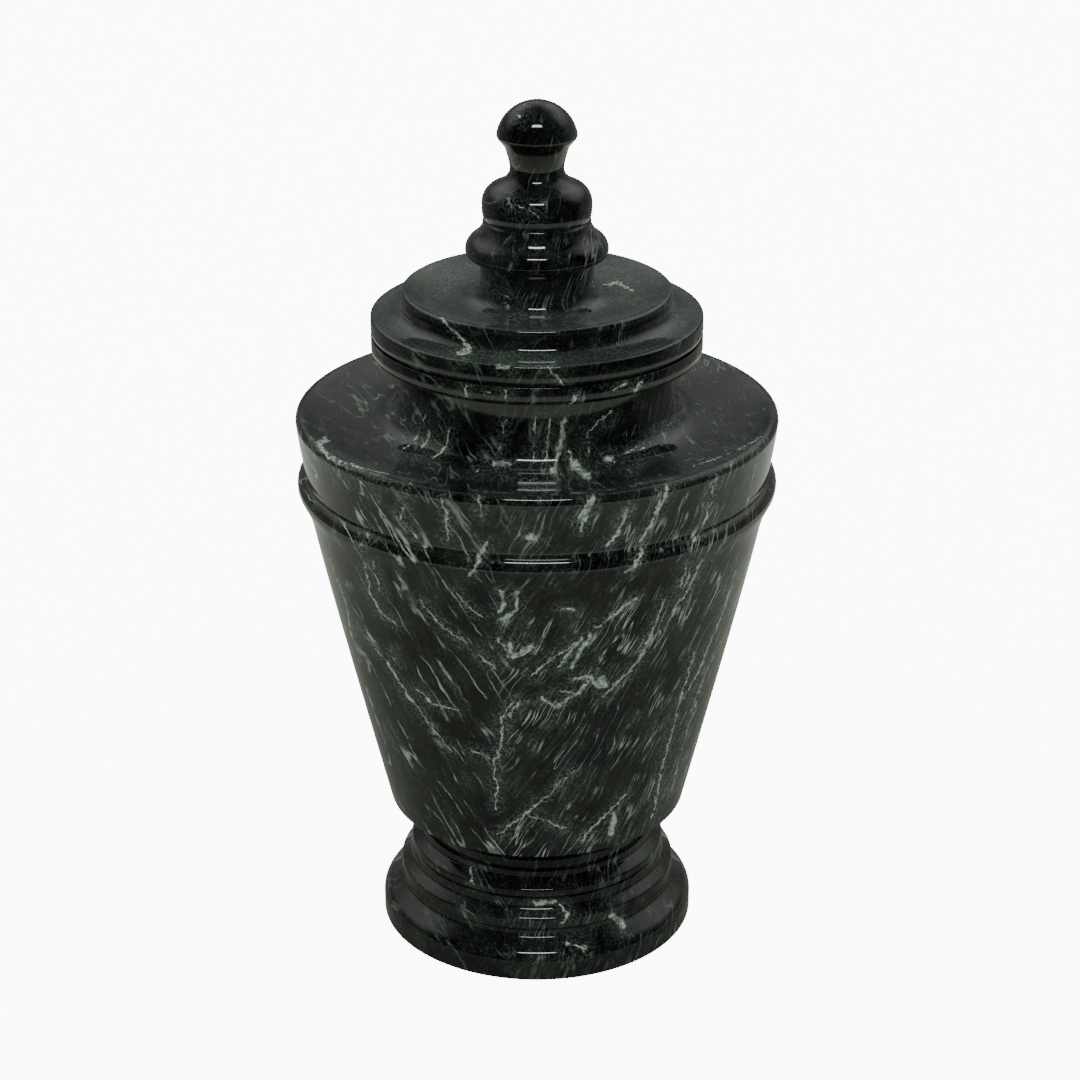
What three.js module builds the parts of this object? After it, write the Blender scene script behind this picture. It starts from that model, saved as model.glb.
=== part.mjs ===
import * as THREE from 'three';

// A cremation urn turned from black marble, in millimetres, with +Z up.
// The origin is in the middle of the foot's underside. There are three stones: the foot, the hollow
// body bedded on it, and the lid, which rests on the body's rim and lifts off.

const FACETS = 36; // flats round every turned stone
const BED = 0.3; // gap between two stones that rest on each other

// Foot: rings that step inwards, from the floor up. Each has a straight side that ends in a rounded
// nose, a slope that climbs to a cove, an upright waist, and a quirk cut in under the next ring.
const FOOT_RADIUS = 72.1;
const MIDDLE_RING_RADIUS = 63.5;
const HIGH_RING_RADIUS = 58.5;
const FOOT_RINGS = [
  { lip: FOOT_RADIUS, side: 7.3, nose: 7.0, climb: 11.7, cove: 2.7, waist: 62.2, upright: 1.2 },
  { lip: MIDDLE_RING_RADIUS, side: 3.7, nose: 1.9, climb: 6.0, cove: 2.4, waist: 58.4, upright: 2.8 },
  { lip: HIGH_RING_RADIUS, side: 2.1, nose: 1.6, climb: 5.9, cove: 2.2, waist: 53.2, upright: 1.8 },
];
const QUIRK_HEIGHT = 1.3;
const QUIRK_DEPTH = 1.3;
const NOSE_END = 55; // degrees above the horizontal at which a nose runs into its slope
const SHARP_NOSE = 3.0; // a nose with a smaller radius than this needs fewer points
const COLLAR_RADIUS = 52.2; // the small ring that ends the foot's steps
const COLLAR_SIDE = 3.3;
const COLLAR_NOSE = 1.4;
const STEM_RADIUS = 50.2; // the foot's narrowest place, above the collar
const STEM_HEIGHT = 8.9;
const BEARING_RADIUS = 56.0; // the foot's top, which carries the body

// Body: heights are above its underside, unless they say otherwise.
const UNDERSIDE_ROUND = 2.4;
const CONE_LOW_RADIUS = 68.0;
const CONE_ANGLE = -13; // degrees above the horizontal that the low cone's face looks
const CONE_TOP_HEIGHT = 135.7; // where the cove under the bead starts
const CONE_TOP_RADIUS = 99.0;
const BEAD_RADIUS = 105.9;
const BEAD_ROUND = 5.3; // radius of the bead's own section
const BEAD_HEIGHT = 156.2; // middle of the bead
const BEAD_COVE_HEIGHT = 6.6; // from the middle of the bead down to where its cove ends
const BEAD_COVE_RADIUS = 103.2;
const BAND_LOW_RADIUS = 102.2; // the band above the bead, which leans out to the shoulder's lip
const BAND_LOW_HEIGHT = 5.9; // above the middle of the bead
const BAND_HEIGHT = 23.8; // from there to the middle of the lip's round
const LIP_RADIUS = 105.9;
const LIP_ROUND = 3.1;
const SAUCER_DEPTH = 3.7; // the shoulder's hollow below the lip's crest
const NECK_RADIUS = 60.6;
const NECK_FLARE = 10.0; // radius of the sweep from the shoulder into the neck
const NECK_HEIGHT = 27.3; // from the shoulder's hollow up to the round under the rim
const RIM_COVE = 3.1; // small round between the neck and the rim
const RIM_RADIUS = 72.1;
const RIM_THICKNESS = 8.3;
const RIM_ROUND = 2.7; // the rim's lower edge
const RIM_ARRIS = 0.4; // the rim's upper edge

// The hollow inside the body.
const WALL = 10.5;
const FLOOR_THICKNESS = 13.0;
const FLOOR_ROUND = 9.0;
const NECK_WALL = 12.6;
const SHOULDER_THICKNESS = 11.0;

// Lid: heights are above its seat on the rim.
const LID_ROUND = 3.6; // the lower edge, cut off at 45 degrees by the seat
const LID_SIDE_HEIGHT = 7.7;
const LID_LIP_ROUND = 1.2;
const LEDGE_DIP = 0.5; // the ledge behind the lip, below the lip's crest
const LEDGE_WIDTH = 4.6;
const RISER_RADIUS = 56.9; // hollow side of the upper step
const RISER_HEIGHT = 14.6;
const TIER_RADIUS = 58.7; // the upper step's lip
const TIER_HEIGHT = 18.0; // middle of that lip's round
const TIER_ROUND = 1.7;
const LID_SAUCER_DEPTH = 4.2; // the lid's hollow top below the tier's crest
const STALK_RADIUS = 24.6;
const STALK_FLARE = 7.3;
const STALK_HEIGHT = 12.0; // from the hollow up to where the stalk spreads again
const SPIGOT_PLAY = 1.0; // all round, between the spigot and the mouth
const SPIGOT_DEPTH = 9.0;

// Finial: heights are above the top of the stalk.
const UNDERCUT_RADIUS = 28.6; // where the stalk has spread under the low bulb
const UNDERCUT_HEIGHT = 6.9;
const LOW_BULB_RADIUS = 30.9;
const LOW_BULB_HEIGHT = 9.6;
const LOW_BULB_EDGE = 3.6; // radius of the section below its widest place
const LOW_BULB_ROUND = 6.6; // and above it
const FILLET_RADIUS = 23.3; // the little ring between the two bulbs
const FILLET_HEIGHT = 22.2;
const FILLET_THICKNESS = 1.6;
const FILLET_QUIRK = 0.7;
const HIGH_BULB_RADIUS = 23.7;
const HIGH_BULB_HEIGHT = 30.1; // middle of the bulb's upper round
const HIGH_BULB_ROUND = 8.6;
const HIGH_BULB_FOOT = 3.0; // radius of the bulb's lower edge
const THROAT_RADIUS = 11.6;
const THROAT_HEIGHT = 45.2;
const KNOB_NECK_RADIUS = 13.8;
const KNOB_NECK_HEIGHT = 54.4;
const KNOB_RADIUS = 17.3;
const KNOB_HEIGHT = 59.9; // middle of the knob's edge
const KNOB_EDGE = 3.4;
const KNOB_CROWN = 14.3; // from the middle of the edge to the very top

// Round stretches, from and to, in degrees above the horizontal.
const BEAD_TURN = [-27, 68];
const LIP_TURN = [22, 112];
const TIER_TURN = [-10, 112];
const FLARE_TURN = [240, 180];
const LOW_BULB_EDGE_TURN = [-45, 0];
const LOW_BULB_TURN = [16, 62];
const HIGH_BULB_FOOT_TURN = [-60, 0];
const HIGH_BULB_TURN = [0, 75];
const KNOB_EDGE_TURN = [-50, 0];

// Swept stretches: how far on from the first end to the other, in radius and in height, the point
// lies that pulls the sweep.
const LEVEL_FIRST = [1, 0];
const UPRIGHT_FIRST = [0, 1];
const STEM_BEND = [0, 0.5];
const CONE_BEND = [0.83, 0.8];
const BEAD_COVE_BEND = [0.4, 0.65];
const BAND_BEND = [0.7, 0.58];
const SHOULDER_BEND = [0.27, 1];
const LID_TOP_BEND = [0.4, 1];
const LOW_BULB_BEND = [0.5, 0.25];
const THROAT_BEND = [1, 0.4];
const KNOB_NECK_BEND = [0, 0.25];

// Half section of a turned stone, drawn from the axis below, up the outside and back to the axis.
class Section {
  constructor(height) {
    this.points = [new THREE.Vector2(0, height)];
  }

  get last() {
    return this.points[this.points.length - 1];
  }

  to(radius, height) {
    this.points.push(new THREE.Vector2(radius, height));
    return this;
  }

  // Round stretch about a centre.
  arc(centreRadius, centreHeight, round, [from, to], steps) {
    for (let i = 0; i <= steps; i++) {
      const angle = THREE.MathUtils.degToRad(from + ((to - from) * i) / steps);
      this.to(centreRadius + round * Math.cos(angle), centreHeight + round * Math.sin(angle));
    }
    return this;
  }

  // Swept stretch from the last point to another.
  sweep([alongRadius, alongHeight], radius, height, steps) {
    const end = new THREE.Vector2(radius, height);
    const pull = new THREE.Vector2(
      THREE.MathUtils.lerp(this.last.x, radius, alongRadius),
      THREE.MathUtils.lerp(this.last.y, height, alongHeight),
    );
    const curve = new THREE.QuadraticBezierCurve(this.last, pull, end);
    for (const point of curve.getPoints(steps).slice(1)) this.points.push(point);
    return this;
  }

  // Closed on the axis at the height reached, and turned into a solid.
  turn() {
    if (this.last.x > 0.001) this.to(0, this.last.y);
    this.last.x = 0;
    return new THREE.LatheGeometry(this.points, FACETS).rotateX(Math.PI / 2);
  }
}

function footRing(section, base, ring) {
  const middle = base + ring.side;
  const coveMiddle = middle + ring.climb;
  const noseSteps = ring.nose > SHARP_NOSE ? 4 : 2;
  section.to(ring.lip, base);
  section.arc(ring.lip - ring.nose, middle, ring.nose, [0, NOSE_END], noseSteps);
  section.arc(ring.waist + ring.cove, coveMiddle, ring.cove, [180 + NOSE_END, 180], 2);
  section.to(ring.waist, coveMiddle + ring.upright);
  section.to(ring.waist - QUIRK_DEPTH, coveMiddle + ring.upright + QUIRK_HEIGHT / 2);
  return coveMiddle + ring.upright + QUIRK_HEIGHT;
}

function footGeometry() {
  const section = new Section(0);
  let base = 0;
  for (const ring of FOOT_RINGS) base = footRing(section, base, ring);
  const collarMiddle = base + COLLAR_SIDE;
  const collarTop = collarMiddle + COLLAR_NOSE;
  const top = collarTop + STEM_HEIGHT;
  section.to(COLLAR_RADIUS, base);
  section.arc(COLLAR_RADIUS - COLLAR_NOSE, collarMiddle, COLLAR_NOSE, [0, 90], 2);
  section.to(STEM_RADIUS, collarTop);
  section.sweep(STEM_BEND, BEARING_RADIUS, top, 3);
  return { geometry: section.turn(), top };
}

// Outside of the body, and the heights that its hollow and the lid need.
function bodyOutside(section, base) {
  const coneTop = base + CONE_TOP_HEIGHT;
  const bead = base + BEAD_HEIGHT;
  const bandLow = bead + BAND_LOW_HEIGHT;
  const lipMiddle = bandLow + BAND_HEIGHT;
  const saucer = lipMiddle + LIP_ROUND - SAUCER_DEPTH;
  const rimLow = saucer + NECK_HEIGHT + RIM_COVE;
  const rimTop = rimLow + RIM_THICKNESS;
  const edgeMiddle = base + UNDERSIDE_ROUND;
  const flareMiddle = NECK_RADIUS + NECK_FLARE;

  section.arc(CONE_LOW_RADIUS - UNDERSIDE_ROUND, edgeMiddle, UNDERSIDE_ROUND, [-90, CONE_ANGLE], 2);
  const coneLow = section.last.y;
  section.sweep(CONE_BEND, CONE_TOP_RADIUS, coneTop, 3);
  section.sweep(BEAD_COVE_BEND, BEAD_COVE_RADIUS, bead - BEAD_COVE_HEIGHT, 3);
  section.arc(BEAD_RADIUS - BEAD_ROUND, bead, BEAD_ROUND, BEAD_TURN, 4);
  section.to(BAND_LOW_RADIUS, bandLow);
  section.sweep(BAND_BEND, LIP_RADIUS, lipMiddle, 3);
  section.arc(LIP_RADIUS - LIP_ROUND, lipMiddle, LIP_ROUND, LIP_TURN, 3);
  section.sweep(SHOULDER_BEND, flareMiddle, saucer, 3);
  section.arc(flareMiddle, saucer + NECK_FLARE, NECK_FLARE, FLARE_TURN, 2);
  section.arc(NECK_RADIUS + RIM_COVE, rimLow - RIM_COVE, RIM_COVE, [180, 90], 2);
  section.arc(RIM_RADIUS - RIM_ROUND, rimLow + RIM_ROUND, RIM_ROUND, [-90, 0], 3);
  section.to(RIM_RADIUS, rimTop - RIM_ARRIS);
  section.to(RIM_RADIUS - RIM_ARRIS, rimTop);
  return { coneLow, bandLow, saucer, rimTop };
}

function bodyGeometry(base) {
  const section = new Section(base);
  const { coneLow, bandLow, saucer, rimTop } = bodyOutside(section, base);
  const mouthRadius = NECK_RADIUS - NECK_WALL;
  const ceiling = saucer - SHOULDER_THICKNESS;
  const chamberTop = bandLow - BEAD_ROUND;
  const chamberRadius = BAND_LOW_RADIUS - WALL;
  const floor = base + FLOOR_THICKNESS;
  const lean = (chamberRadius - (CONE_LOW_RADIUS - WALL)) / (chamberTop - coneLow);
  const floorRadius = CONE_LOW_RADIUS - WALL + lean * (floor + FLOOR_ROUND - coneLow);

  section.to(mouthRadius, rimTop);
  section.to(mouthRadius, saucer + NECK_FLARE);
  section.sweep(UPRIGHT_FIRST, NECK_RADIUS + NECK_FLARE, ceiling, 3);
  section.sweep(LEVEL_FIRST, chamberRadius, chamberTop, 3);
  section.to(floorRadius, floor + FLOOR_ROUND);
  section.sweep([lean, 1], floorRadius - FLOOR_ROUND, floor, 2);
  return { geometry: section.turn(), mouthRadius, rimTop };
}

function lidGeometry(seat, mouthRadius) {
  const spigotRadius = mouthRadius - SPIGOT_PLAY;
  const sideTop = seat + LID_SIDE_HEIGHT;
  const ledge = sideTop + LID_LIP_ROUND - LEDGE_DIP;
  const ledgeRadius = RIM_RADIUS - LEDGE_WIDTH;
  const tier = seat + TIER_HEIGHT;
  const saucer = tier + TIER_ROUND - LID_SAUCER_DEPTH;
  const stalkTop = saucer + STALK_HEIGHT;
  const flareMiddle = STALK_RADIUS + STALK_FLARE;
  const edgeMiddle = seat + LID_ROUND * Math.SQRT1_2;

  const section = new Section(seat - SPIGOT_DEPTH);
  section.to(spigotRadius, seat - SPIGOT_DEPTH);
  section.to(spigotRadius, seat);
  section.arc(RIM_RADIUS - LID_ROUND, edgeMiddle, LID_ROUND, [-45, 0], 2);
  section.arc(RIM_RADIUS - LID_LIP_ROUND, sideTop, LID_LIP_ROUND, [0, 90], 2);
  section.to(ledgeRadius, ledge);
  section.sweep(LEVEL_FIRST, RISER_RADIUS, seat + RISER_HEIGHT, 3);
  section.arc(TIER_RADIUS - TIER_ROUND, tier, TIER_ROUND, TIER_TURN, 3);
  section.sweep(LID_TOP_BEND, flareMiddle, saucer, 3);
  section.arc(flareMiddle, saucer + STALK_FLARE, STALK_FLARE, FLARE_TURN, 2);
  section.to(STALK_RADIUS, stalkTop);
  finial(section, stalkTop);
  return section.turn();
}

function finial(section, base) {
  const lowBulb = base + LOW_BULB_HEIGHT;
  const fillet = base + FILLET_HEIGHT;
  const highBulb = base + HIGH_BULB_HEIGHT;
  const highBulbFoot = fillet + FILLET_THICKNESS + HIGH_BULB_FOOT;
  const knob = base + KNOB_HEIGHT;
  const top = knob + KNOB_CROWN;

  section.sweep(UPRIGHT_FIRST, UNDERCUT_RADIUS, base + UNDERCUT_HEIGHT, 2);
  section.arc(LOW_BULB_RADIUS - LOW_BULB_EDGE, lowBulb, LOW_BULB_EDGE, LOW_BULB_EDGE_TURN, 1);
  section.arc(LOW_BULB_RADIUS - LOW_BULB_ROUND, lowBulb, LOW_BULB_ROUND, LOW_BULB_TURN, 2);
  section.sweep(LOW_BULB_BEND, FILLET_RADIUS, fillet - FILLET_THICKNESS, 2);
  section.to(FILLET_RADIUS, fillet);
  section.to(FILLET_RADIUS - FILLET_QUIRK, fillet + FILLET_THICKNESS / 2);

  section.arc(HIGH_BULB_RADIUS - HIGH_BULB_FOOT, highBulbFoot, HIGH_BULB_FOOT, HIGH_BULB_FOOT_TURN, 2);
  section.arc(HIGH_BULB_RADIUS - HIGH_BULB_ROUND, highBulb, HIGH_BULB_ROUND, HIGH_BULB_TURN, 3);
  section.sweep(THROAT_BEND, THROAT_RADIUS, base + THROAT_HEIGHT, 3);
  section.sweep(KNOB_NECK_BEND, KNOB_NECK_RADIUS, base + KNOB_NECK_HEIGHT, 2);
  section.arc(KNOB_RADIUS - KNOB_EDGE, knob, KNOB_EDGE, KNOB_EDGE_TURN, 2);

  // The crown is a ball whose sides meet the edge and whose top is the urn's highest point.
  const ball = (KNOB_RADIUS ** 2 + KNOB_CROWN ** 2) / (2 * KNOB_CROWN);
  const edgeAngle = THREE.MathUtils.radToDeg(Math.asin(1 - KNOB_CROWN / ball));
  section.arc(0, top - ball, ball, [edgeAngle, 90], 5);
}

function stone(name, geometry, colour) {
  const material = new THREE.MeshStandardMaterial({ color: colour, roughness: 0.08, metalness: 0 });
  const mesh = new THREE.Mesh(geometry, material);
  mesh.name = name;
  return mesh;
}

const foot = footGeometry();
const body = bodyGeometry(foot.top + BED);
const lid = lidGeometry(body.rimTop + BED, body.mouthRadius);

const urn = new THREE.Group();
urn.add(stone('foot', foot.geometry, 0x1b1e1c));
urn.add(stone('body', body.geometry, 0x1d201e));
urn.add(stone('lid', lid, 0x1a1d1b));

export default urn;
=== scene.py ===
# A cremation urn turned from black veined marble: foot, hollow body and lift-off lid.
from math import asin, cos, pi, radians, sin, sqrt

import bpy
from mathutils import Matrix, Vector


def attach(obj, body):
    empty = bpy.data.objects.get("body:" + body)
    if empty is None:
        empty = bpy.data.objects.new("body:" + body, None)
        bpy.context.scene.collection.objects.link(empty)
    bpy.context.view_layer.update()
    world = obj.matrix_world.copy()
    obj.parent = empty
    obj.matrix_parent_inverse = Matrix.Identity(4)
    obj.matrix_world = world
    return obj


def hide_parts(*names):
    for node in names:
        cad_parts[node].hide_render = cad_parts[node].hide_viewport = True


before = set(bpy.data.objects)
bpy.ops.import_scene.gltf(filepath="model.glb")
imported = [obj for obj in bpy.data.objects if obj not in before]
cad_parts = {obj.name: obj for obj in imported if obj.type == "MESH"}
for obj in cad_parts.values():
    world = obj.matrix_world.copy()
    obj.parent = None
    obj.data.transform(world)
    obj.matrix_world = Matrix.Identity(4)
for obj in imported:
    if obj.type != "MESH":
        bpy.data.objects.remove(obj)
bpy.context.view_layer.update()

MM = 0.001
FACETS = 256  # faces round every turned stone
ARC_STEP = 7.0  # degrees between the points of a round stretch
SWEEP_STEPS = 14
BED = 0.3  # gap between two stones that rest on each other, in millimetres as all the sizes below

# Foot: rings that step inwards, from the floor up. Each has a straight side that ends in a rounded
# nose, a slope that climbs to a cove, an upright waist, and a quirk cut in under the next ring.
FOOT_RADIUS = 72.1
MIDDLE_RING_RADIUS = 63.5
HIGH_RING_RADIUS = 58.5
FOOT_RINGS = (
    dict(lip=FOOT_RADIUS, side=7.3, nose=7.0, climb=11.7, cove=2.7, waist=62.2, upright=1.2),
    dict(lip=MIDDLE_RING_RADIUS, side=3.7, nose=1.9, climb=6.0, cove=2.4, waist=58.4, upright=2.8),
    dict(lip=HIGH_RING_RADIUS, side=2.1, nose=1.6, climb=5.9, cove=2.2, waist=53.2, upright=1.8),
)
QUIRK_HEIGHT = 1.3
QUIRK_DEPTH = 1.3
NOSE_END = 55
COLLAR_RADIUS = 52.2
COLLAR_SIDE = 3.3
COLLAR_NOSE = 1.4
STEM_RADIUS = 50.2
STEM_HEIGHT = 8.9
BEARING_RADIUS = 56.0
FOOT_ARRIS = 0.2  # the foot's lowest edge

# Body: heights are above its underside, unless they say otherwise.
UNDERSIDE_ROUND = 2.4
CONE_LOW_RADIUS = 68.0
CONE_ANGLE = -13
CONE_TOP_HEIGHT = 135.7
CONE_TOP_RADIUS = 99.0
BEAD_RADIUS = 105.9
BEAD_ROUND = 5.3
BEAD_HEIGHT = 156.2
BEAD_COVE_HEIGHT = 6.6
BEAD_COVE_RADIUS = 103.2
BAND_LOW_RADIUS = 102.2
BAND_LOW_HEIGHT = 5.9
BAND_HEIGHT = 23.8
LIP_RADIUS = 105.9
LIP_ROUND = 3.1
SAUCER_DEPTH = 3.7
NECK_RADIUS = 60.6
NECK_FLARE = 10.0
NECK_HEIGHT = 27.3
RIM_COVE = 3.1
RIM_RADIUS = 72.1
RIM_THICKNESS = 8.3
RIM_ROUND = 2.7
RIM_ARRIS = 0.4

# The hollow inside the body.
WALL = 10.5
FLOOR_THICKNESS = 13.0
FLOOR_ROUND = 9.0
NECK_WALL = 12.6
SHOULDER_THICKNESS = 11.0

# Lid: heights are above its seat on the rim.
LID_ROUND = 3.6
LID_SIDE_HEIGHT = 7.7
LID_LIP_ROUND = 1.2
LEDGE_DIP = 0.5
LEDGE_WIDTH = 4.6
RISER_RADIUS = 56.9
RISER_HEIGHT = 14.6
TIER_RADIUS = 58.7
TIER_HEIGHT = 18.0
TIER_ROUND = 1.7
LID_SAUCER_DEPTH = 4.2
STALK_RADIUS = 24.6
STALK_FLARE = 7.3
STALK_HEIGHT = 12.0
SPIGOT_PLAY = 1.0
SPIGOT_DEPTH = 9.0

# Finial: heights are above the top of the stalk.
UNDERCUT_RADIUS = 28.6
UNDERCUT_HEIGHT = 6.9
LOW_BULB_RADIUS = 30.9
LOW_BULB_HEIGHT = 9.6
LOW_BULB_EDGE = 3.6
LOW_BULB_ROUND = 6.6
FILLET_RADIUS = 23.3
FILLET_HEIGHT = 22.2
FILLET_THICKNESS = 1.6
FILLET_QUIRK = 0.7
HIGH_BULB_RADIUS = 23.7
HIGH_BULB_HEIGHT = 30.1
HIGH_BULB_ROUND = 8.6
HIGH_BULB_FOOT = 14.0
HIGH_BULB_FOOT_RISE = 4.0
THROAT_RADIUS = 11.6
THROAT_HEIGHT = 45.2
KNOB_NECK_RADIUS = 13.8
KNOB_NECK_HEIGHT = 54.4
KNOB_RADIUS = 17.3
KNOB_HEIGHT = 59.9
KNOB_EDGE = 3.4
KNOB_CROWN = 14.3

# Swept stretches: how far on from the first end to the other, in radius and in height, the point
# lies that pulls the sweep.
LEVEL_FIRST = (1, 0)
UPRIGHT_FIRST = (0, 1)
STEM_BEND = (0, 0.5)
CONE_BEND = (0.83, 0.8)
BEAD_COVE_BEND = (0.4, 0.65)
BAND_BEND = (0.7, 0.58)
SHOULDER_BEND = (0.27, 1)
LID_TOP_BEND = (0.4, 1)
LOW_BULB_BEND = (0.5, 0.25)
THROAT_BEND = (1, 0.4)
KNOB_NECK_BEND = (0, 0.25)

# Camera, fitted to the photograph: millimetres from the urn's axis and the floor.
CAMERA_PLACE = (0.0, -1131.1, 677.9)
CAMERA_PITCH = 23.54
CAMERA_LENS = 91.75
CAMERA_SHIFT = 0.0028
SENSOR_WIDTH = 36
PHOTO_SIZE = 1080

# Room: brightness of the floor as the camera sees it, and what the polish mirrors, in metres.
FLOOR_GLOW = 10.0
FLOOR_SIZE = 30
FLOOR_WHITE = 0.93
TABLE_RADIUS = 0.78
# The table is painted darker near the urn: painted shade of the urn on the floor.
TABLE_NEAR_SHADED = (0.23, 0.24, 0.215, 1)
TABLE_FAR = (0.58, 0.60, 0.545, 1)
TABLE_SHADE_FADE = (0.18, 0.66)  # from and to, away from the urn's axis
ROOM_TINT = (0.965, 1.0, 0.945, 1)
LAMP_PLACE = (0, -0.53, 1.15)
LAMP_AIM = (0, 0, 0.2)
LAMP_WIDTH = 0.40
LAMP_HEIGHT = 0.09
LAMP_GLOW = 30


class Section:
    """Half section of a turned stone: up its outside, from the axis below and back to the axis."""

    def __init__(self, height):
        self.points = [(0.0, height)]

    def to(self, radius, height):
        self.points.append((radius, height))

    def arc(self, centre_radius, centre_height, round_, turn):
        """Round stretch about a centre; turn is from and to, in degrees above the horizontal."""
        first, last = turn
        steps = max(2, round(abs(last - first) / ARC_STEP))
        for i in range(steps + 1):
            angle = radians(first + (last - first) * i / steps)
            self.to(centre_radius + round_ * cos(angle), centre_height + round_ * sin(angle))

    def sweep(self, bend, radius, height):
        """Swept stretch from the last point to another."""
        r0, z0 = self.points[-1]
        r1 = r0 + (radius - r0) * bend[0]
        z1 = z0 + (height - z0) * bend[1]
        for i in range(1, SWEEP_STEPS + 1):
            t = i / SWEEP_STEPS
            a, b, c = (1 - t) ** 2, 2 * t * (1 - t), t * t
            self.to(a * r0 + b * r1 + c * radius, a * z0 + b * z1 + c * height)

    def close(self):
        """Back to the axis at the height reached, without points that lie on each other."""
        if self.points[-1][0] > 0.001:
            self.to(0.0, self.points[-1][1])
        kept = [self.points[0]]
        for point in self.points[1:]:
            if abs(point[0] - kept[-1][0]) + abs(point[1] - kept[-1][1]) > 0.02:
                kept.append(point)
        kept[-1] = (0.0, kept[-1][1])
        return kept


def foot_section():
    section = Section(0.0)
    section.arc(FOOT_RINGS[0]["lip"] - FOOT_ARRIS, FOOT_ARRIS, FOOT_ARRIS, (-90, 0))
    base = 0.0
    for ring in FOOT_RINGS:
        middle = base + ring["side"]
        cove = middle + ring["climb"]
        if base:
            section.to(ring["lip"], base)
        section.arc(ring["lip"] - ring["nose"], middle, ring["nose"], (0, NOSE_END))
        section.arc(ring["waist"] + ring["cove"], cove, ring["cove"], (180 + NOSE_END, 180))
        section.to(ring["waist"], cove + ring["upright"])
        section.to(ring["waist"] - QUIRK_DEPTH, cove + ring["upright"] + QUIRK_HEIGHT / 2)
        base = cove + ring["upright"] + QUIRK_HEIGHT
    collar = base + COLLAR_SIDE
    top = collar + COLLAR_NOSE + STEM_HEIGHT
    section.to(COLLAR_RADIUS, base)
    section.arc(COLLAR_RADIUS - COLLAR_NOSE, collar, COLLAR_NOSE, (0, 90))
    section.to(STEM_RADIUS, collar + COLLAR_NOSE)
    section.sweep(STEM_BEND, BEARING_RADIUS, top)
    return section.close(), top


def body_section(base):
    section = Section(base)
    bead = base + BEAD_HEIGHT
    band_low = bead + BAND_LOW_HEIGHT
    lip = band_low + BAND_HEIGHT
    saucer = lip + LIP_ROUND - SAUCER_DEPTH
    rim_low = saucer + NECK_HEIGHT + RIM_COVE
    rim_top = rim_low + RIM_THICKNESS
    flare = NECK_RADIUS + NECK_FLARE

    low_edge = base + UNDERSIDE_ROUND
    section.arc(CONE_LOW_RADIUS - UNDERSIDE_ROUND, low_edge, UNDERSIDE_ROUND, (-90, CONE_ANGLE))
    cone_low = section.points[-1][1]
    section.sweep(CONE_BEND, CONE_TOP_RADIUS, base + CONE_TOP_HEIGHT)
    section.sweep(BEAD_COVE_BEND, BEAD_COVE_RADIUS, bead - BEAD_COVE_HEIGHT)
    section.arc(BEAD_RADIUS - BEAD_ROUND, bead, BEAD_ROUND, (-27, 68))
    section.to(BAND_LOW_RADIUS, band_low)
    section.sweep(BAND_BEND, LIP_RADIUS, lip)
    section.arc(LIP_RADIUS - LIP_ROUND, lip, LIP_ROUND, (22, 112))
    section.sweep(SHOULDER_BEND, flare, saucer)
    section.arc(flare, saucer + NECK_FLARE, NECK_FLARE, (240, 180))
    section.arc(NECK_RADIUS + RIM_COVE, rim_low - RIM_COVE, RIM_COVE, (180, 90))
    section.arc(RIM_RADIUS - RIM_ROUND, rim_low + RIM_ROUND, RIM_ROUND, (-90, 0))
    section.arc(RIM_RADIUS - RIM_ARRIS, rim_top - RIM_ARRIS, RIM_ARRIS, (0, 90))

    mouth = NECK_RADIUS - NECK_WALL
    ceiling = saucer - SHOULDER_THICKNESS
    chamber_top = band_low - BEAD_ROUND
    chamber = BAND_LOW_RADIUS - WALL
    floor = base + FLOOR_THICKNESS
    lean = (chamber - (CONE_LOW_RADIUS - WALL)) / (chamber_top - cone_low)
    floor_radius = CONE_LOW_RADIUS - WALL + lean * (floor + FLOOR_ROUND - cone_low)
    section.to(mouth, rim_top)
    section.to(mouth, saucer + NECK_FLARE)
    section.sweep(UPRIGHT_FIRST, flare, ceiling)
    section.sweep(LEVEL_FIRST, chamber, chamber_top)
    section.to(floor_radius, floor + FLOOR_ROUND)
    section.sweep((lean, 1), floor_radius - FLOOR_ROUND, floor)
    return section.close(), mouth, rim_top


def lid_section(seat, mouth):
    side_top = seat + LID_SIDE_HEIGHT
    ledge = side_top + LID_LIP_ROUND - LEDGE_DIP
    tier = seat + TIER_HEIGHT
    saucer = tier + TIER_ROUND - LID_SAUCER_DEPTH
    flare = STALK_RADIUS + STALK_FLARE
    edge = seat + LID_ROUND * sin(pi / 4)

    section = Section(seat - SPIGOT_DEPTH)
    section.to(mouth - SPIGOT_PLAY, seat - SPIGOT_DEPTH)
    section.to(mouth - SPIGOT_PLAY, seat)
    section.arc(RIM_RADIUS - LID_ROUND, edge, LID_ROUND, (-45, 0))
    section.arc(RIM_RADIUS - LID_LIP_ROUND, side_top, LID_LIP_ROUND, (0, 90))
    section.to(RIM_RADIUS - LEDGE_WIDTH, ledge)
    section.sweep(LEVEL_FIRST, RISER_RADIUS, seat + RISER_HEIGHT)
    section.arc(TIER_RADIUS - TIER_ROUND, tier, TIER_ROUND, (-10, 112))
    section.sweep(LID_TOP_BEND, flare, saucer)
    section.arc(flare, saucer + STALK_FLARE, STALK_FLARE, (240, 180))
    section.to(STALK_RADIUS, saucer + STALK_HEIGHT)
    finial(section, saucer + STALK_HEIGHT)
    return section.close()


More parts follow.
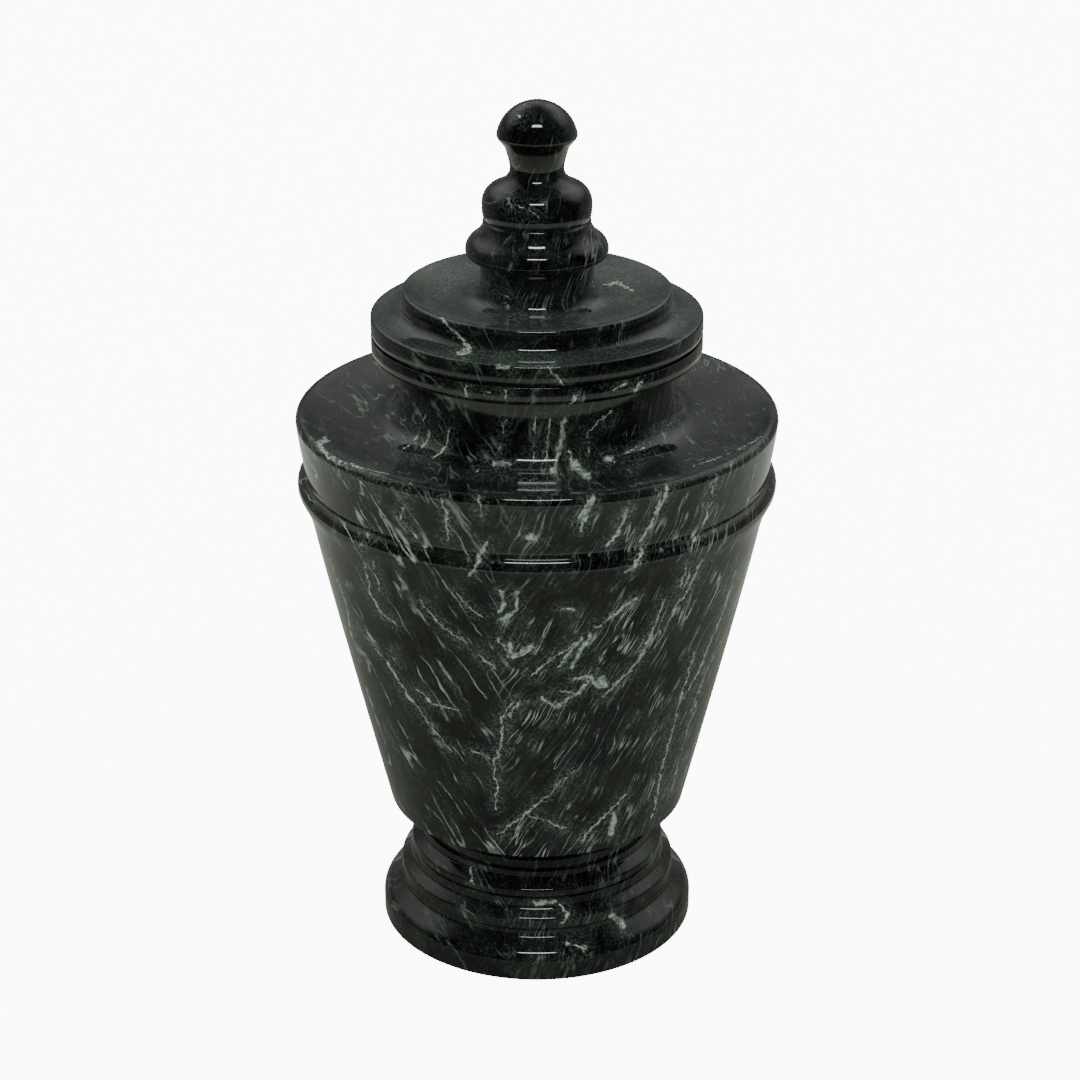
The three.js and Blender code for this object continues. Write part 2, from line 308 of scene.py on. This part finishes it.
def finial(section, base):
    low_bulb = base + LOW_BULB_HEIGHT
    fillet = base + FILLET_HEIGHT
    high_bulb_foot = fillet + FILLET_THICKNESS + HIGH_BULB_FOOT_RISE
    knob = base + KNOB_HEIGHT
    top = knob + KNOB_CROWN
    section.sweep(UPRIGHT_FIRST, UNDERCUT_RADIUS, base + UNDERCUT_HEIGHT)
    section.arc(LOW_BULB_RADIUS - LOW_BULB_EDGE, low_bulb, LOW_BULB_EDGE, (-45, 0))
    section.arc(LOW_BULB_RADIUS - LOW_BULB_ROUND, low_bulb, LOW_BULB_ROUND, (0, 62))
    section.sweep(LOW_BULB_BEND, FILLET_RADIUS, fillet - FILLET_THICKNESS)
    section.to(FILLET_RADIUS, fillet)
    section.to(FILLET_RADIUS - FILLET_QUIRK, fillet + FILLET_THICKNESS / 2)
    section.arc(HIGH_BULB_RADIUS - HIGH_BULB_FOOT, high_bulb_foot, HIGH_BULB_FOOT, (-16, 0))
    section.arc(HIGH_BULB_RADIUS - HIGH_BULB_ROUND, base + HIGH_BULB_HEIGHT, HIGH_BULB_ROUND, (0, 75))
    section.sweep(THROAT_BEND, THROAT_RADIUS, base + THROAT_HEIGHT)
    section.sweep(KNOB_NECK_BEND, KNOB_NECK_RADIUS, base + KNOB_NECK_HEIGHT)
    section.arc(KNOB_RADIUS - KNOB_EDGE, knob, KNOB_EDGE, (-50, 0))
    ball = (KNOB_RADIUS ** 2 + KNOB_CROWN ** 2) / (2 * KNOB_CROWN)
    edge = asin(1 - KNOB_CROWN / ball) * 180 / pi
    section.arc(0, top - ball, ball, (edge, 90))


def turn(node, points, material):
    """Turns a stone from its half section and puts it in the place of its CAD node."""
    bpy.ops.object.select_all(action="DESELECT")
    bpy.ops.mesh.primitive_plane_add(size=MM)
    stone = bpy.context.object
    stone.name = stone.data.name = node + "_marble"
    bpy.ops.object.mode_set(mode="EDIT")
    bpy.ops.mesh.merge(type="CENTER")
    at = (0.0, 0.0)
    for i, point in enumerate(points):
        step = ((point[0] - at[0]) * MM, 0.0, (point[1] - at[1]) * MM)
        if i == 0:
            bpy.ops.transform.translate(value=step)
        else:
            bpy.ops.mesh.extrude_vertices_move(TRANSFORM_OT_translate={"value": step})
        at = point
    bpy.ops.mesh.select_all(action="SELECT")
    bpy.ops.mesh.spin(steps=FACETS, angle=2 * pi, center=(0, 0, 0), axis=(0, 0, 1))
    bpy.ops.mesh.select_all(action="SELECT")
    bpy.ops.mesh.remove_doubles(threshold=0.002 * MM)
    bpy.ops.mesh.normals_make_consistent(inside=False)
    bpy.ops.object.mode_set(mode="OBJECT")
    bpy.ops.object.shade_smooth_by_angle(angle=radians(32))
    stone.data.materials.append(material)
    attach(stone, "root")
    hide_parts(node)
    return stone


class Nodes:
    """Short ways to add a material's nodes."""

    def __init__(self, tree):
        self.tree = tree

    def add(self, kind, **settings):
        node = self.tree.nodes.new(kind)
        for name, value in settings.items():
            setattr(node, name, value)
        return node

    def put(self, socket, value):
        if isinstance(value, bpy.types.NodeSocket):
            self.tree.links.new(value, socket)
        else:
            socket.default_value = value

    def math(self, operation, *values):
        node = self.add("ShaderNodeMath", operation=operation)
        for socket, value in zip(node.inputs, values):
            self.put(socket, value)
        return node.outputs[0]

    def vector(self, operation, *values):
        node = self.add("ShaderNodeVectorMath", operation=operation)
        for socket, value in zip(node.inputs, values):
            self.put(socket, value)
        return node.outputs["Value" if operation in ("LENGTH", "DISTANCE", "DOT_PRODUCT") else "Vector"]

    def scaled(self, vector, share):
        node = self.add("ShaderNodeVectorMath", operation="SCALE")
        self.put(node.inputs[0], vector)
        self.put(node.inputs["Scale"], share)
        return node.outputs["Vector"]

    def ramp(self, value, low, high, bottom=0.0, top=1.0):
        """Smooth step, which keeps between its ends by itself."""
        node = self.add("ShaderNodeMapRange", interpolation_type="SMOOTHSTEP", clamp=False)
        for socket, given in zip(node.inputs, (value, low, high, bottom, top)):
            self.put(socket, given)
        return node.outputs[0]

    def product(self, first, *others):
        for other in others:
            first = self.math("MULTIPLY", first, other)
        return first

    def share(self, value, most, least):
        """Most of a value, and least where the value is none."""
        return self.math("MULTIPLY_ADD", value, most, least)

    def noise(self, place, scale, detail=3.0, rough=0.55):
        node = self.add("ShaderNodeTexNoise")
        self.put(node.inputs["Vector"], place)
        self.put(node.inputs["Scale"], scale)
        self.put(node.inputs["Detail"], detail)
        self.put(node.inputs["Roughness"], rough)
        return node

    def blend(self, share, first, second):
        node = self.add("ShaderNodeMix", data_type="RGBA")
        self.put(node.inputs["Factor"], share)
        self.put(node.inputs["A"], first)
        self.put(node.inputs["B"], second)
        return node.outputs["Result"]


# Marble: its colours, its patterns in noise cells to the metre, and how strongly each shows.
BLACK = (0.0007, 0.0009, 0.0008, 1)
CLOUD = (0.0150, 0.0175, 0.0150, 1)
VEIN = (0.175, 0.235, 0.205, 1)
WHITE = (0.46, 0.55, 0.50, 1)
VEIN_SQUASH = (1.0, 0.3, 1.0)  # depth counts less, so a vein goes into the stone
VEIN_EDGE = 1.30
VEIN_CORE = 0.25
HAZE_REACH = 7
HAZE_CORE = 0.5
STROKE_TILT = 0.12
STROKE_TURN = 0.3
STROKE_STRETCH = (1.0, 4.5, 13.0)
SLOW_BEND = 45
QUICK_BEND = 260
PATCHES = 24
CLOUDS = 38
GRIT = 800
SPECKS = 850
BREAKS = 95
GRAIN = 420
BANDS_SHOW = 0.58
THIN_SHOW = 0.50
SPECKS_SHOW = 0.46
LINES_SHOW = 0.80
HAZE_SHOW = 0.50
PLACED_MARKS_SHOW = 0.95
POLISH = (0.045, 0.08)  # least and most roughness
WAVINESS = 0.02

# The plainest veins, with some painted highlights and reflections among them: half width in
# millimetres, then the spots it runs through, read in the photograph, across and down in its pixels.
# Three numbers are a spot given in millimetres instead, across, back and up.
CONE_LEFT_VEINS = (
    (0.55, ((365, 563), (369, 592), (380, 611), (398, 625))),
    (0.30, ((359, 626), (388, 664))),
    (0.75, ((388, 664), (399, 681), (412, 701))),
    (0.40, ((412, 701), (428, 722), (450, 750))),
    (0.55, ((392, 648), (395, 661))),
    (0.55, ((418, 690), (431, 704), (457, 710))),
    (0.45, ((457, 592), (468, 606), (483, 618))),
    (0.40, ((420, 600), (440, 625), (462, 640))),
    (0.50, ((330, 560), (345, 600), (352, 640))),
    (0.40, ((372, 560), (380, 590))),
    (0.60, ((478, 655), (494, 668))),
)
CONE_MIDDLE_VEINS = (
    (0.50, ((515, 701), (503, 719), (503, 742))),
    (0.75, ((503, 742), (496, 762))),
    (0.40, ((496, 762), (496, 808))),
    (0.35, ((474, 750), (491, 759))),
    (0.55, ((497, 834), (520, 821), (538, 804))),
    (0.30, ((538, 804), (575, 771))),
    (0.45, ((529, 817), (549, 823), (566, 828))),
    (0.75, ((515, 592), (517, 612), (503, 621))),
    (0.80, ((509, 644), (509, 658), (520, 655), (532, 647))),
    (0.90, ((563, 609), (573, 609))),
    (0.80, ((501, 590), (506, 604), (500, 612))),
    (0.60, ((497, 640), (510, 652))),
    (0.70, ((512, 655), (532, 645))),
    (0.50, ((520, 700), (512, 716))),
)
CONE_RIGHT_VEINS = (
    (0.60, ((627, 794), (611, 808), (581, 840))),
    (1.50, ((612, 814), (611, 834))),
    (0.45, ((665, 600), (650, 635))),
    (1.20, ((650, 635), (639, 661))),
    (0.60, ((639, 661), (624, 676), (604, 696))),
    (1.90, ((602, 680), (606, 684))),
    (1.10, ((590, 635), (578, 655), (572, 667))),
    (0.55, ((581, 638), (543, 664), (529, 676))),
    (0.80, ((636, 598), (613, 618))),
    (0.45, ((613, 618), (598, 626))),
    (0.80, ((590, 681), (575, 696), (555, 706), (543, 696))),
    (0.50, ((693, 652), (682, 690), (670, 736), (659, 782), (653, 817))),
    (0.40, ((699, 549), (685, 589), (676, 609))),
    (0.50, ((737, 570), (725, 605), (712, 640))),
    (0.70, ((712, 640), (698, 672), (680, 703))),
    (0.40, ((723, 636), (706, 672), (690, 712))),
    (0.50, ((749, 560), (737, 600))),
    (0.60, ((702, 560), (690, 590), (672, 612))),
    (0.40, ((700, 690), (684, 740), (672, 790))),
    (0.70, ((556, 668), (570, 650), (580, 640))),
    (1.00, ((575, 680), (590, 676), (600, 686))),
    (0.60, ((560, 690), (575, 694))),
)
BAND_VEINS = (
    (0.90, ((487, 543), (478, 560), (471, 575))),
    (0.95, ((641, 549), (636, 563), (627, 572))),
    (0.40, ((409, 483), (401, 518), (418, 540))),
    (0.40, ((441, 499), (447, 524), (447, 540))),
    (0.50, ((479, 497), (481, 515))),
    (0.90, ((593, 497), (585, 518))),
    (1.80, ((527, 537), (533, 537))),
    (0.80, ((626, 511), (617, 531), (607, 547))),
    (0.40, ((716, 479), (707, 518), (691, 553), (681, 585))),
    (0.40, ((370, 534), (361, 547), (368, 579))),
    (0.60, ((590, 500), (578, 520))),
    (0.60, ((660, 500), (650, 525))),
    (0.80, ((668, 490), (655, 515), (640, 540))),
    (0.50, ((588, 500), (580, 530))),
)
NECK_VEINS_AND_HIGHLIGHT = (
    (0.60, ((569, 452), (572, 465))),
    (1.50, ((572, 465), (588, 476))),
    (1.20, ((566, 422), (561, 444), (553, 473))),
    (0.50, ((428, 431), (425, 444), (405, 457))),
    (0.50, ((449, 428), (447, 444), (434, 458))),
    (0.90, ((495, 465), (511, 467))),
    # Painted highlight: a small glint of a side lamp on the neck, drawn as a short white mark.
    (1.00, ((608, 460), (613, 460))),
    (0.40, ((535, 420), (533, 460))),
    (0.50, ((550, 420), (546, 462))),
    (0.40, ((612, 412), (588, 432), (592, 452))),
    (0.30, ((486, 457), (476, 472))),
    (0.30, ((506, 422), (501, 452), (491, 467))),
)
SHOULDER_VEINS_AND_REFLECTIONS = (
    (1.50, ((326, 440), (320, 444))),
    (0.70, ((320, 444), (314, 457))),
    # This and the next are painted reflections: pale lines along the saucer inside the lip, one on each side.
    (0.60, ((318, 442), (328, 457), (360, 467), (390, 475))),
    (0.40, ((758, 437), (733, 452), (692, 467))),
    (0.30, ((672, 422), (642, 442), (617, 462))),
    (0.35, ((424, 415), (414, 440), (398, 450))),
    (0.30, ((650, 440), (630, 470))),
)
RIM_VEINS = (
    (0.60, ((468, 387), (465, 398))),
    (0.50, ((487, 391), (490, 393))),
    (0.45, ((505, 390), (505, 399))),
    (0.50, ((575, 396), (570, 404))),
    (0.60, ((627, 382), (614, 390))),
    (0.60, ((643, 381), (636, 390))),
)
BODY_VEINS_AND_REFLECTIONS = (
    CONE_LEFT_VEINS + CONE_MIDDLE_VEINS + CONE_RIGHT_VEINS
    + BAND_VEINS + NECK_VEINS_AND_HIGHLIGHT + SHOULDER_VEINS_AND_REFLECTIONS + RIM_VEINS
)
LID_VEINS_AND_REFLECTIONS = (
    # This and the next are a painted reflection on the lid, drawn as a curved vein.
    (0.70, ((443, 320), (457, 333), (470, 349))),
    (0.80, ((470, 349), (455, 355))),
    (0.80, ((500, 365), (510, 368))),
    (0.45, ((549, 368), (556, 377), (563, 385))),
    (0.60, ((605, 285), (618, 282), (632, 290))),
    (0.30, ((484, 280), (495, 290), (510, 300))),
    (0.40, ((505, 305), (515, 320))),
    # These two are painted reflections: a pale haze on the lid's saucer, one on each side, with hardly any
    # sharp line.
    (0.05, ((-46, -14, 301), (-36, 22, 301))),
    (0.05, ((42, -12, 301), (34, 24, 301))),
    (0.45, ((522, 105), (518, 118))),
    (0.30, ((508, 200), (512, 212))),
    (0.25, ((515, 205), (528, 210), (540, 217))),
)
FOOT_VEINS_AND_REFLECTION = (
    (0.60, ((560, 905), (567, 917), (560, 925))),
    (0.50, ((565, 943), (585, 947))),
    (1.00, ((535, 902), (556, 903))),
    # Painted reflection of a side lamp on the middle ring.
    (1.10, ((612, 915), (622, 925))),
    (0.60, ((470, 870), (475, 885))),
)


def line_of_sight(across, down):
    """Direction from the camera through a spot of the photograph."""
    pitch = radians(CAMERA_PITCH)
    focus = CAMERA_LENS / SENSOR_WIDTH * PHOTO_SIZE
    right = (across - PHOTO_SIZE * (0.5 - CAMERA_SHIFT)) / focus
    up = (PHOTO_SIZE / 2 - down) / focus
    return right, cos(pitch) + up * sin(pitch), up * cos(pitch) - sin(pitch)


def reach(points, sight):
    """How far along a line of sight the stone's turned surface is met first."""
    x, y, z = CAMERA_PLACE
    dx, dy, dz = sight
    met = []
    for (r0, z0), (r1, z1) in zip(points, points[1:]):
        if z0 == z1:
            continue
        slope = (r1 - r0) / (z1 - z0)
        radius = r0 + slope * (z - z0)
        a = dx * dx + dy * dy - (slope * dz) ** 2
        b = x * dx + y * dy - radius * slope * dz
        c = x * x + y * y - radius * radius
        if b * b < a * c:
            continue
        for root in (-sqrt(b * b - a * c), sqrt(b * b - a * c)):
            along = (root - b) / a
            if min(z0, z1) <= z + along * dz <= max(z0, z1) and radius + slope * along * dz >= 0:
                met.append(along)
    return min(met)


def on_stone(points, spot):
    """A vein's spot in metres on the stone."""
    if len(spot) == 2:
        sight = line_of_sight(*spot)
        along = reach(points, sight)
        spot = [place + along * step for place, step in zip(CAMERA_PLACE, sight)]
    return tuple(value * MM for value in spot)


def placed_veins_and_reflections(n, place, points, veins):
    """Share of vein colour from the placed veins and painted highlights and reflections, and a wider haze
    about them.
    """
    flat = n.vector("MULTIPLY", place, VEIN_SQUASH)
    sharp = 0.0
    haze = 1.0
    for half_width, spots in veins:
        ends = [on_stone(points, spot) for spot in spots]
        for start, end in zip(ends, ends[1:]):
            a = [value * share for value, share in zip(start, VEIN_SQUASH)]
            along = [(q - p) * share for p, q, share in zip(start, end, VEIN_SQUASH)]
            length = sum(value * value for value in along)
            off = n.vector("SUBTRACT", flat, a)
            share = n.vector("DOT_PRODUCT", off, [value / length for value in along])
            share = n.math("MINIMUM", n.math("MAXIMUM", share, 0.0), 1.0)
            nearest = n.scaled(along, share)
            distance = n.vector("DISTANCE", off, nearest)
            mark = n.ramp(distance, half_width * VEIN_EDGE * MM, half_width * VEIN_CORE * MM)
            sharp = n.math("MAXIMUM", sharp, mark)
            haze = n.math("MINIMUM", haze, distance)
    return sharp, n.ramp(n.math("MINIMUM", haze, HAZE_REACH * MM), HAZE_REACH * MM, HAZE_CORE * MM)


def streaks(n, place, lean, across):
    """Short strokes that lean by an angle about the line of sight, across being their fineness."""
    node = n.add("ShaderNodeMapping", vector_type="TEXTURE")
    n.put(node.inputs["Vector"], place)
    node.inputs["Rotation"].default_value = (STROKE_TILT, lean, STROKE_TURN)
    node.inputs["Scale"].default_value = [across * value * MM for value in STROKE_STRETCH]
    return n.noise(node.outputs[0], 1.0, 2, 0.6).outputs["Fac"]


def marble(name, shift, points, veins, calm, painted_top_light):
    """Black marble: dark clouds, leaning strokes, sheets of fine veins, specks and placed veins,
    among which are painted highlights and reflections.

    Calm is the height in millimetres above which the stone is plainer and so darker, partly painted
    shade on the neck under the rim and on the finial. The last argument is the share of vein colour
    that its level tops below about that height take on: painted light from above.
    """
    material = bpy.data.materials.new(name)
    material.use_nodes = True
    tree = material.node_tree
    shader = tree.nodes["Principled BSDF"]
    n = Nodes(tree)
    place = n.add("ShaderNodeTexCoord").outputs["Object"]
    block = n.vector("ADD", place, shift)
    slow = n.vector("SUBTRACT", n.noise(block, SLOW_BEND, 2).outputs["Color"], (0.5, 0.5, 0.5))
    quick = n.vector("SUBTRACT", n.noise(block, QUICK_BEND, 3, 0.7).outputs["Color"], (0.5, 0.5, 0.5))
    rough = n.vector("MULTIPLY_ADD", quick, (0.0052, 0.0052, 0.0052), place)
    rough = n.vector("MULTIPLY_ADD", slow, (0.005, 0.005, 0.005), rough)
    bent = n.vector("MULTIPLY_ADD", slow, (0.006, 0.006, 0.006), block)
    bent = n.vector("MULTIPLY_ADD", quick, (0.0010, 0.0010, 0.0010), bent)

    apart = n.add("ShaderNodeSeparateXYZ")
    n.put(apart.inputs[0], rough)
    facing = n.add("ShaderNodeSeparateXYZ")
    n.put(facing.inputs[0], n.add("ShaderNodeNewGeometry").outputs["Normal"])
    level = n.ramp(facing.outputs["Z"], 0.65, 0.92)
    # Painted light from above: level tops below about the calm height are painted paler.
    painted_lit_tops = n.product(level, n.ramp(apart.outputs["Z"], (calm + 34) * MM, (calm + 28) * MM))
    right = n.ramp(apart.outputs["X"], -0.020, -0.008)
    # Plainer above the calm height, partly painted shade that darkens the neck under the rim and the finial;
    # plainer on level tops too.
    lively = n.ramp(apart.outputs["Z"], (calm + 5) * MM, (calm - 3) * MM, 0.30, 1.0)
    lively = n.product(lively, n.share(level, -0.65, 1.0))
    left = n.math("SUBTRACT", 1.0, right)

    patches = n.ramp(n.noise(block, PATCHES, 3, 0.6).outputs["Fac"], 0.36, 0.66)
    clouds = n.ramp(n.noise(bent, CLOUDS, 5, 0.65).outputs["Fac"], 0.36, 0.74)

    # Grain breaks the leaning bands up into dense specks and dashes.
    grit = n.ramp(n.noise(bent, GRIT, 3, 0.75).outputs["Fac"], 0.44, 0.66)
    bands_right = n.ramp(streaks(n, bent, 0.46, 2.6), 0.48, 0.74)
    bands_left = n.ramp(streaks(n, bent, -0.42, 3.0), 0.50, 0.78)
    bands = n.math("ADD", n.product(bands_right, right), n.product(bands_left, left))
    bands = n.product(bands, lively, n.share(patches, 0.75, 0.25), n.share(grit, 0.85, 0.15))
    thin_right = n.ramp(streaks(n, bent, 0.50, 0.62), 0.56, 0.76)
    thin_left = n.ramp(streaks(n, bent, -0.45, 0.62), 0.58, 0.78)
    thin = n.math("ADD", n.product(thin_right, right), n.product(thin_left, left))
    thin = n.product(thin, lively, n.share(patches, 0.8, 0.2))

    # Sheets: where a stretched noise passes its middle value, a thin bright line is left.
    sheet_right = streaks(n, bent, 0.40, 5.0)
    sheet_left = streaks(n, bent, -0.50, 9.0)
    lines = []
    for value, side in ((sheet_right, right), (sheet_left, left)):
        gap = n.math("ABSOLUTE", n.math("SUBTRACT", value, 0.5))
        lines.append(n.product(n.ramp(gap, 0.024, 0.003), side))
    line = n.math("ADD", lines[0], lines[1])
    broken = n.ramp(n.noise(block, BREAKS, 3, 0.6).outputs["Fac"], 0.42, 0.62)
    line = n.product(line, broken, lively, n.share(patches, 0.7, 0.3))

    specks = n.ramp(n.noise(bent, SPECKS, 2, 0.7).outputs["Fac"], 0.56, 0.78)
    specks = n.product(specks, n.share(clouds, 0.75, 0.25))

    sharp, haze = placed_veins_and_reflections(n, rough, points, veins)
    grain = n.ramp(n.noise(block, GRAIN, 3, 0.7).outputs["Fac"], 0.36, 0.60)
    sharp = n.product(sharp, n.share(grain, 0.75, 0.25))
    haze = n.product(haze, grit, n.share(lively, 0.6, 0.4))

    colour = n.blend(clouds, BLACK, CLOUD)
    # Painted light: the lower level tops take on some vein colour.
    colour = n.blend(n.product(painted_lit_tops, n.share(grit, painted_top_light, painted_top_light / 2)), colour, VEIN)
    colour = n.blend(n.product(bands, BANDS_SHOW), colour, VEIN)
    colour = n.blend(n.product(thin, THIN_SHOW), colour, VEIN)
    colour = n.blend(n.product(specks, SPECKS_SHOW), colour, VEIN)
    colour = n.blend(n.product(line, LINES_SHOW), colour, WHITE)
    # Haze and sharp lines of the placed veins, among them painted highlights and reflections.
    colour = n.blend(n.product(haze, HAZE_SHOW), colour, VEIN)
    colour = n.blend(n.product(sharp, PLACED_MARKS_SHOW), colour, WHITE)
    n.put(shader.inputs["Base Color"], colour)

    polish = n.noise(block, GRAIN, 2).outputs["Fac"]
    n.put(shader.inputs["Roughness"], n.ramp(polish, 0.3, 0.7, *POLISH))
    shader.inputs["IOR"].default_value = 1.5
    bump = n.add("ShaderNodeBump")
    bump.inputs["Strength"].default_value = WAVINESS
    bump.inputs["Distance"].default_value = 0.1 * MM
    n.put(bump.inputs["Height"], n.noise(block, 90, 2).outputs["Fac"])
    n.put(shader.inputs["Normal"], bump.outputs["Normal"])
    return material


def plain(name, colour, glow=0.0):
    material = bpy.data.materials.new(name)
    material.use_nodes = True
    shader = material.node_tree.nodes["Principled BSDF"]
    shader.inputs["Base Color"].default_value = colour
    shader.inputs["Roughness"].default_value = 1.0
    shader.inputs["Specular IOR Level"].default_value = 0.0
    shader.inputs["Emission Color"].default_value = (1, 1, 1, 1)
    shader.inputs["Emission Strength"].default_value = glow
    return material


def add_floor():
    """The white floor, overexposed as in the photograph; it lights nothing by itself."""
    bpy.ops.object.select_all(action="DESELECT")
    bpy.ops.mesh.primitive_plane_add(size=FLOOR_SIZE)
    floor = bpy.context.object
    floor.name = "floor"
    floor.data.materials.append(plain("white_floor", (FLOOR_WHITE, FLOOR_WHITE, FLOOR_WHITE, 1), FLOOR_GLOW))
    floor.visible_diffuse = False
    floor.visible_glossy = False
    floor.visible_shadow = False


def add_table():
    """The round of lit floor near the urn, which only the polished stone mirrors, painted darker near the urn
    as its shade.
    """
    bpy.ops.object.select_all(action="DESELECT")
    just_below = (0, 0, -MM)
    bpy.ops.mesh.primitive_circle_add(vertices=96, radius=TABLE_RADIUS, fill_type="NGON", location=just_below)
    table = bpy.context.object
    table.name = "lit_table"
    material = plain("lit_table", TABLE_NEAR_SHADED)
    n = Nodes(material.node_tree)
    away = n.vector("LENGTH", n.add("ShaderNodeTexCoord").outputs["Object"])
    # Painted shade: darker near the urn, paler away from it.
    colour = n.blend(n.ramp(away, *TABLE_SHADE_FADE), TABLE_NEAR_SHADED, TABLE_FAR)
    n.put(material.node_tree.nodes["Principled BSDF"].inputs["Base Color"], colour)
    table.data.materials.append(material)
    table.visible_camera = False
    table.visible_diffuse = False
    table.visible_shadow = False


def add_light(name, place, aim, width, height, glow):
    """A softbox that the polish mirrors; glow is its brightness, and the room lights the rest."""
    lamp = bpy.data.lights.new(name, "AREA")
    lamp.shape = "RECTANGLE"
    lamp.size, lamp.size_y = width, height
    lamp.energy = glow * pi * width * height
    light = bpy.data.objects.new(name, lamp)
    bpy.context.scene.collection.objects.link(light)
    light.location = place
    light.rotation_euler = (Vector(aim) - Vector(place)).to_track_quat("-Z", "Y").to_euler()
    light.visible_camera = False
    light.visible_diffuse = False
    return light


def add_surroundings():
    """An even white room for the stone's own colour, and a dark front for what its polish mirrors."""
    world = bpy.data.worlds.new("white_studio")
    bpy.context.scene.world = world
    world.use_nodes = True
    tree = world.node_tree
    n = Nodes(tree)
    direction = n.add("ShaderNodeTexCoord").outputs["Generated"]
    apart = n.add("ShaderNodeSeparateXYZ")
    n.put(apart.inputs[0], direction)
    x, y, z = apart.outputs
    level = n.vector("MULTIPLY", direction, (1, 1, 0))
    spread = n.math("MAXIMUM", n.vector("LENGTH", level), 0.001)
    towards_front = n.math("DIVIDE", n.product(y, -1.0), spread)
    sides = n.ramp(towards_front, 0.20, -0.45)
    back = n.ramp(towards_front, -0.93, -1.0)
    lower_wall = n.ramp(z, 0.20, 0.62, 0.20, 0.90)
    below_ceiling = n.ramp(z, 0.95, 0.68, 0.15, 1.0)
    brighter_right = n.ramp(x, -0.2, 0.2, 1.0, 1.12)
    room = n.product(lower_wall, below_ceiling, brighter_right, n.share(back, -0.35, 1.0), sides)

    ray = n.add("ShaderNodeLightPath")
    glow = n.add("ShaderNodeMix", data_type="FLOAT")
    n.put(glow.inputs[0], ray.outputs["Is Glossy Ray"])
    n.put(glow.inputs[2], n.ramp(z, -0.5, 0.9, 0.35, 1.45))
    n.put(glow.inputs[3], room)
    shown = n.add("ShaderNodeMix", data_type="FLOAT")
    n.put(shown.inputs[0], ray.outputs["Is Camera Ray"])
    n.put(shown.inputs[2], glow.outputs[0])
    n.put(shown.inputs[3], FLOOR_GLOW + FLOOR_WHITE)
    n.put(tree.nodes["Background"].inputs["Strength"], shown.outputs[0])
    tree.nodes["Background"].inputs["Color"].default_value = ROOM_TINT


def add_camera():
    lens = bpy.data.cameras.new("camera")
    lens.lens = CAMERA_LENS
    lens.sensor_width = SENSOR_WIDTH
    lens.shift_x = CAMERA_SHIFT
    camera = bpy.data.objects.new("camera", lens)
    bpy.context.scene.collection.objects.link(camera)
    camera.location = [value * MM for value in CAMERA_PLACE]
    camera.rotation_euler = (radians(90 - CAMERA_PITCH), 0, 0)
    bpy.context.scene.camera = camera


add_camera()
add_surroundings()
add_floor()
add_table()
add_light("overhead", LAMP_PLACE, LAMP_AIM, LAMP_WIDTH, LAMP_HEIGHT, LAMP_GLOW)

foot_points, foot_top = foot_section()
body_points, mouth_radius, rim_height = body_section(foot_top + BED)
lid_points = lid_section(rim_height + BED, mouth_radius)
foot_marble = marble("foot_black_marble", (0.40, 0.90, 0.20), foot_points, FOOT_VEINS_AND_REFLECTION, calm=-10, painted_top_light=0.0)
body_marble = marble("body_black_marble", (0.0, 0.0, 0.0), body_points, BODY_VEINS_AND_REFLECTIONS, calm=247, painted_top_light=0.02)
lid_marble = marble("lid_black_marble", (0.70, 0.20, 0.50), lid_points, LID_VEINS_AND_REFLECTIONS, calm=280, painted_top_light=0.15)
turn("foot", foot_points, foot_marble)
turn("body", body_points, body_marble)
turn("lid", lid_points, lid_marble)
